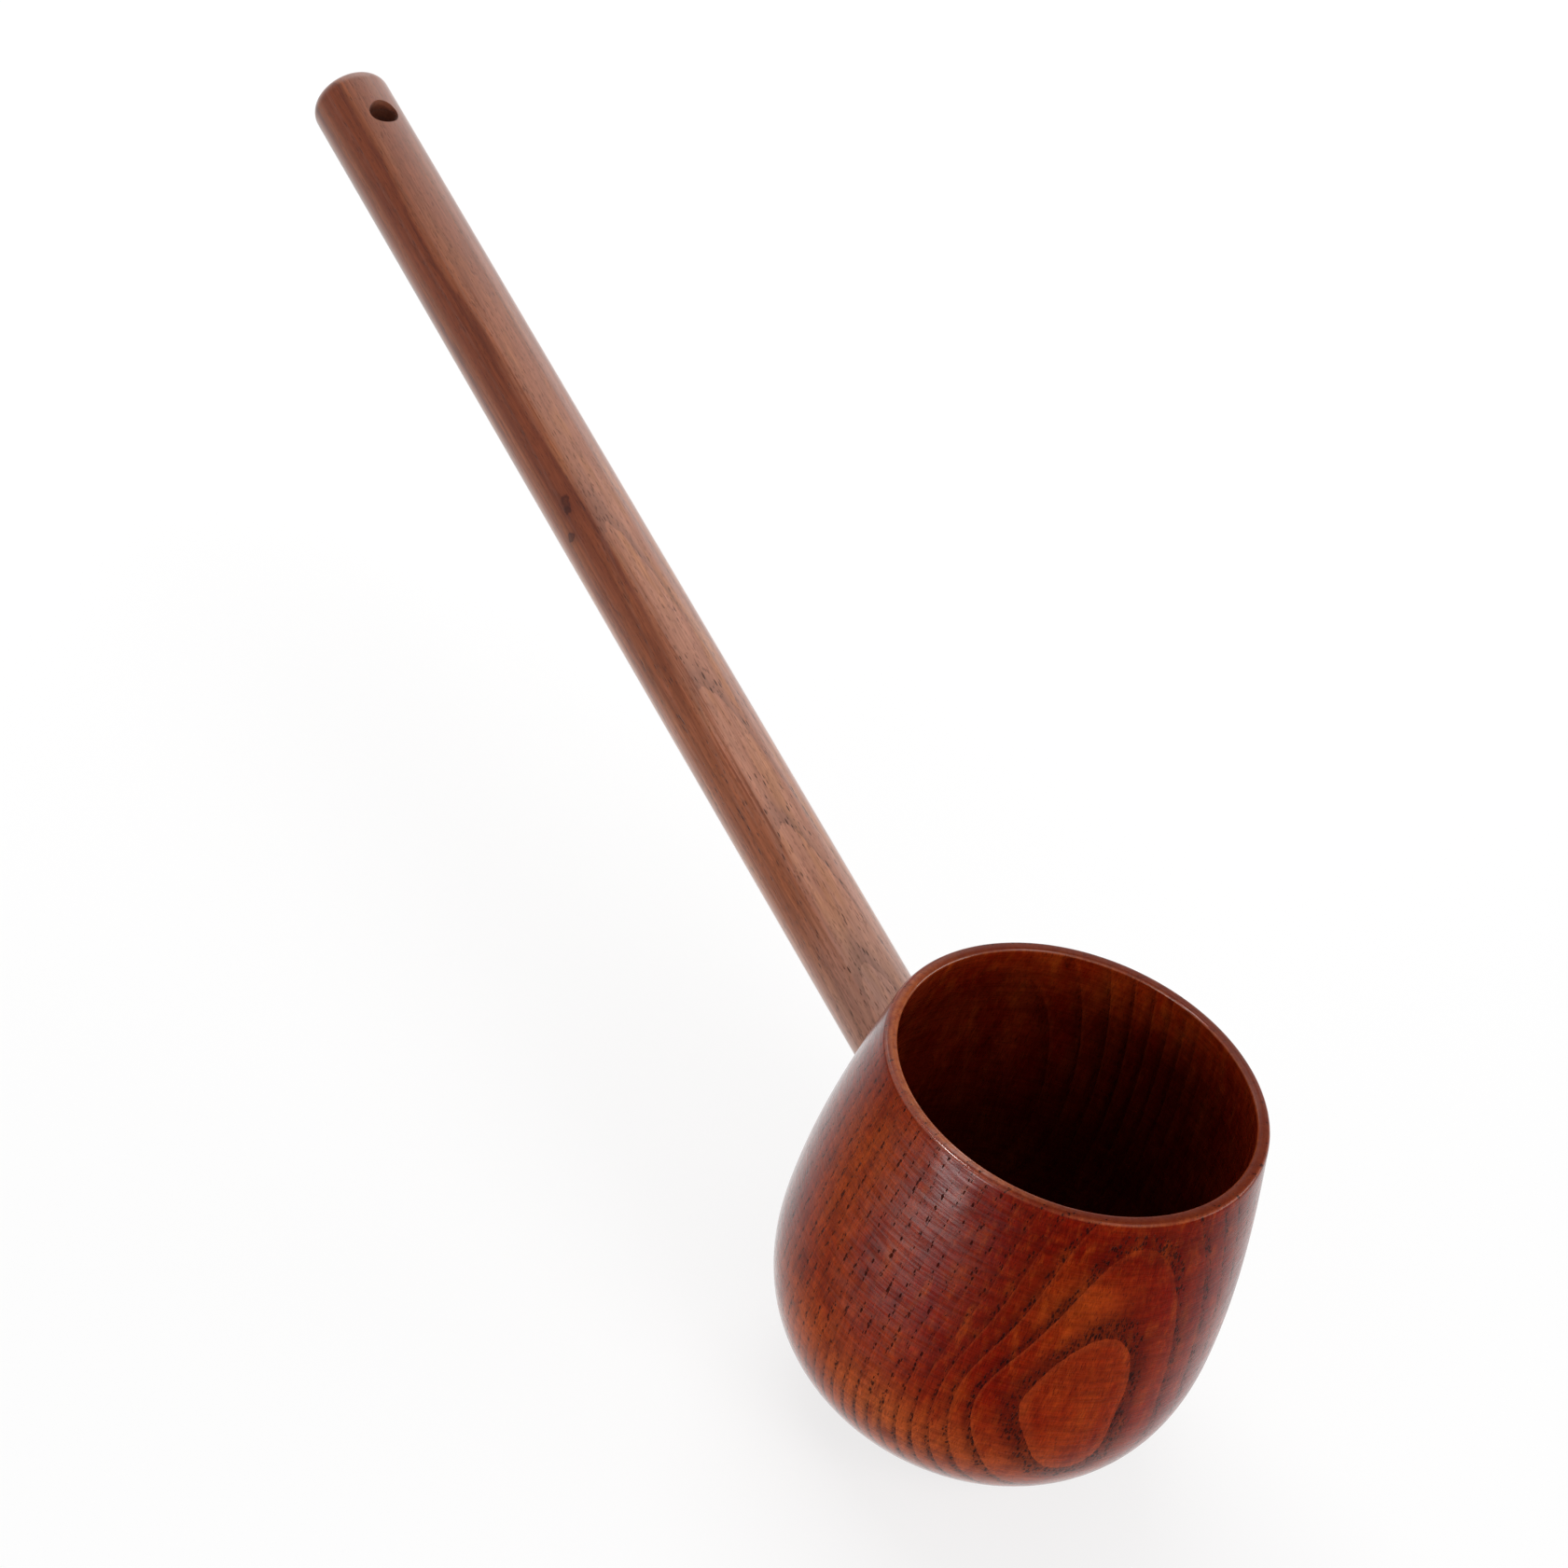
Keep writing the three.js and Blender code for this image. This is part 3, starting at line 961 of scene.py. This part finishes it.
streak = maths(tree, "MULTIPLY_ADD", ripple, rodGrain["streakRipple"], streak)
streak = times(tree, fade(tree, streak, fades["streak"]), fade(tree, along, fades["streakAlong"]))
colour = mixColours(tree, streak, colour, colours["streak"])
seam = times(tree, fade(tree, turned, fades["seamStart"]), fade(tree, turned, fades["seamEnd"]))
seam = times(tree, seam, fade(tree, cloud, fades["seamCloud"]))
seam = times(tree, seam, fade(tree, along, fades["seamAlong"]))
veins = times(tree, side, fade(tree, veins, fades["veins"]))
colour = mixColours(tree, maths(tree, "MAXIMUM", seam, veins), colour, colours["vein"])
bandShare = times(tree, rings["band"], fade(tree, side, fades["bandSide"]))
colour = mixColours(tree, bandShare, colour, colours["greyLine"])
bundles = useGroup(tree, fibreGroup, place=place, **rodGrain["bundles"])["streak"]
colour = shade(tree, colour, fade(tree, bundles, fades["bundleShade"]))
colour = shade(tree, colour, fade(tree, fibres, fades["fibreShade"]))
speckShare = times(tree, specks, rodGrain["speckShare"])
colour = mixColours(tree, speckShare, colour, colours["poreDark"])
darkShare = times(tree, poreShare, rodGrain["poreShare"])
colour = mixColours(tree, darkShare, colour, colours["poreDark"])

# knots: a ragged dark spot with a soft halo, paler at its heart
jitter = newNode(tree, "ShaderNodeTexNoise", (place,))
jitter.inputs["Scale"].default_value = rodGrain["knotJitter"]["scale"]
ragged = jitter.outputs["Color"]
ragged = vectors(tree, "MULTIPLY_ADD", ragged, rodGrain["knotJitter"]["height"], place)
ragged = vectors(tree, "SUBTRACT", ragged, rodGrain["knotJitter"]["middle"])
for centre, size, paleness in rodGrain["knots"]:
    haloSize = [rodGrain["haloSize"] * part for part in size]
    halo = times(tree, spotMask(tree, place, centre, haloSize), rodGrain["haloShare"])
    colour = mixColours(tree, halo, colour, colours["vein"])
    spot = spotMask(tree, ragged, centre, size)
    heart = times(tree, fade(tree, spot, fades["knotHeart"]), paleness)
    knot = times(tree, fade(tree, spot, fades["knotEdge"]), maths(tree, "SUBTRACT", 1, heart))
    colour = mixColours(tree, knot, colour, colours["knotDark"])
roughness = fade(tree, fibres, fades["roughness"])
finishSurface(
    tree,
    shader,
    colour,
    gloss,
    roughness,
    rodGrain["relief"],
    fibres=fibres,
    marks=marks,
    pores=poreShare,
)
paint(handlePiece, rodWood)

# dowel wood: plain hardwood, its end stained and lacquered with the bowl

dowelGrain = {
    "fibres": {"width": 0.25, "length": 10.0},
    "pores": {"spacing": 0.3, "length": 6.0, "size": 0.3},
    "colours": {
        "light": "a8754f",
        "dark": "8a5837",
        "stainLight": "6c1a07",
        "stainDark": "4a0a03",
    },
    "relief": {"fibres": 0.2, "pores": -1.0, "depth": 0.00006},
    "fades": {  # from, to, result at from, result at to
        "tone": (0.3, 0.7, 0, 1),
        "soaked": (38.0, 38.6, 1, 0),
        "roughness": (0.2, 0.8, 0.4, 0.55),
    },
}
fades, colours = dowelGrain["fades"], screenColours(dowelGrain["colours"])
dowelWood, tree, shader, gloss = startWood("dowelWood", cupLacquer)
place = grainPlace(tree, rodRoot, rodGrain["turn"])
fibres = useGroup(tree, fibreGroup, place=place, **dowelGrain["fibres"])["streak"]
pores = useGroup(tree, poreGroup, place=place, **dowelGrain["pores"])["mask"]
tone = fade(tree, fibres, fades["tone"])
plain = mixColours(tree, tone, colours["light"], colours["dark"])
stain = mixColours(tree, tone, colours["stainLight"], colours["stainDark"])
along = newNode(tree, "ShaderNodeSeparateXYZ", (place,)).outputs["Z"]
colour = mixColours(tree, fade(tree, along, fades["soaked"]), plain, stain)
roughness = fade(tree, fibres, fades["roughness"])
relief = dowelGrain["relief"]
finishSurface(tree, shader, colour, gloss, roughness, relief, fibres=fibres, pores=pores)
paint(dowelPiece, dowelWood)
print("woods made")

for piece, node, slot in (
    (cupPiece, "cup", "cup_wood"),
    (handlePiece, "handle", "handle_wood"),
    (dowelPiece, "joint_dowel", "dowel_wood"),
):
    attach(piece, "root")
    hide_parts(node)

# studio: white floor and surroundings, a broad soft light above the handle, smaller ones around

studio = {
    "floorSize": 12,
    "floorColour": (0.95, 0.95, 0.95, 1),
    "floorWhite": (0.45, 1.3, 0.78, 1),  # fades to plain white away from the ladle
    "ambient": 0.22,
    "white": (1, 1, 1, 1),
}
lamps = {
    "topLight": {
        "place": (0.80, -0.19, 0.88), "aim": (0.10, 0, 0.05), "size": (1.1, 1.1), "power": 12.0,
    },
    "leftLight": {
        "place": (-0.19, 1.08, 0.18), "aim": (0.02, 0, 0.05), "size": (0.5, 0.3), "power": 3.2,
    },
    "frontLight": {
        "place": (-0.95, 0.55, 0.17), "aim": (0.02, 0, 0.05), "size": (0.5, 0.3), "power": 5.0,
    },
    "rightLight": {
        "place": (-0.55, -0.95, 0.18), "aim": (0.02, 0, 0.05), "size": (0.8, 0.3), "power": 4.0,
    },
    "bowlLight": {
        "place": (-0.82, -0.12, 0.74), "aim": (0.02, 0, 0.05), "size": (0.5, 0.5), "power": 2.5,
    },
    "rimLight": {
        "place": (0.60, -1.00, 0.55), "aim": (0.12, 0, 0.06), "size": (0.5, 0.4), "power": 1.6,
    },
    "glintCard": {  # lies on the floor
        "place": (-0.012, 0.247, 0.002), "aim": (-0.012, 0.217, 1.0), "size": (0.09, 0.05),
        "power": 0.1,
    },
    "lipCard": {  # held to a narrow beam
        "place": (0.126, 0.483, 0.566), "aim": (0.0, 0.0, 0.075), "size": (0.14, 0.14),
        "power": 0.11, "spread": 40,
    },
}


# white where a ray comes from the camera, straight, mirrored or passed through
def whiteForViewer(tree, straight, plain, white, surface):
    path = tree.nodes.new("ShaderNodeLightPath").outputs
    seen = times(tree, path["Is Camera Ray"], straight)
    seen = maths(tree, "MAXIMUM", seen, path["Is Glossy Ray"])
    seen = maths(tree, "MAXIMUM", seen, path["Is Transmission Ray"])
    mixed = newNode(tree, "ShaderNodeMixShader", (seen, plain, white))
    plug(tree, mixed.outputs[0], surface)


bpy.ops.object.select_all(action="DESELECT")
bpy.ops.mesh.primitive_plane_add(size=studio["floorSize"], location=(0, 0, 0))
floorPlane = bpy.context.object
floorPlane.name = "studioFloor"
floorPaint = bpy.data.materials.new("floorPaint")
floorPaint.use_nodes = True
tree = floorPaint.node_tree
shader = tree.nodes["Principled BSDF"]
shader.inputs["Base Color"].default_value = studio["floorColour"]
shader.inputs["Roughness"].default_value = 1
shader.inputs["Specular IOR Level"].default_value = 0
space = newNode(tree, "ShaderNodeTexCoord", ())
away = vectors(tree, "LENGTH", space.outputs["Object"])
white = fade(tree, away, studio["floorWhite"])
glow = newNode(tree, "ShaderNodeEmission", (studio["white"], 1))
surface = tree.nodes["Material Output"].inputs["Surface"]
whiteForViewer(tree, white, shader.outputs[0], glow.outputs[0], surface)
paint(floorPlane, floorPaint)

world = bpy.data.worlds.new("studioWorld")
scene.world = world
world.use_nodes = True
tree = world.node_tree
ambient = tree.nodes["Background"]
ambient.inputs["Color"].default_value = studio["white"]
ambient.inputs["Strength"].default_value = studio["ambient"]
backdrop = newNode(tree, "ShaderNodeBackground", (studio["white"], 1))
surface = tree.nodes["World Output"].inputs["Surface"]
whiteForViewer(tree, 1.0, ambient.outputs[0], backdrop.outputs[0], surface)

for name, lamp in lamps.items():
    bpy.ops.object.select_all(action="DESELECT")
    bpy.ops.object.light_add(type="AREA", location=lamp["place"])
    light = bpy.context.object
    light.name = name
    light.data.shape = "RECTANGLE"
    light.data.size, light.data.size_y = lamp["size"]
    light.data.energy = lamp["power"]
    light.data.spread = radians(lamp.get("spread", 180))
    facing = Vector(lamp["aim"]) - Vector(lamp["place"])
    light.rotation_euler = facing.to_track_quat("-Z", "Y").to_euler()
    light.visible_camera = False
    light.visible_diffuse = not name.endswith("Card")  # cards show only as highlights on the cup
    light.visible_glossy = name != "frontLight"  # no glare along the cup's outline
print("studio lit")
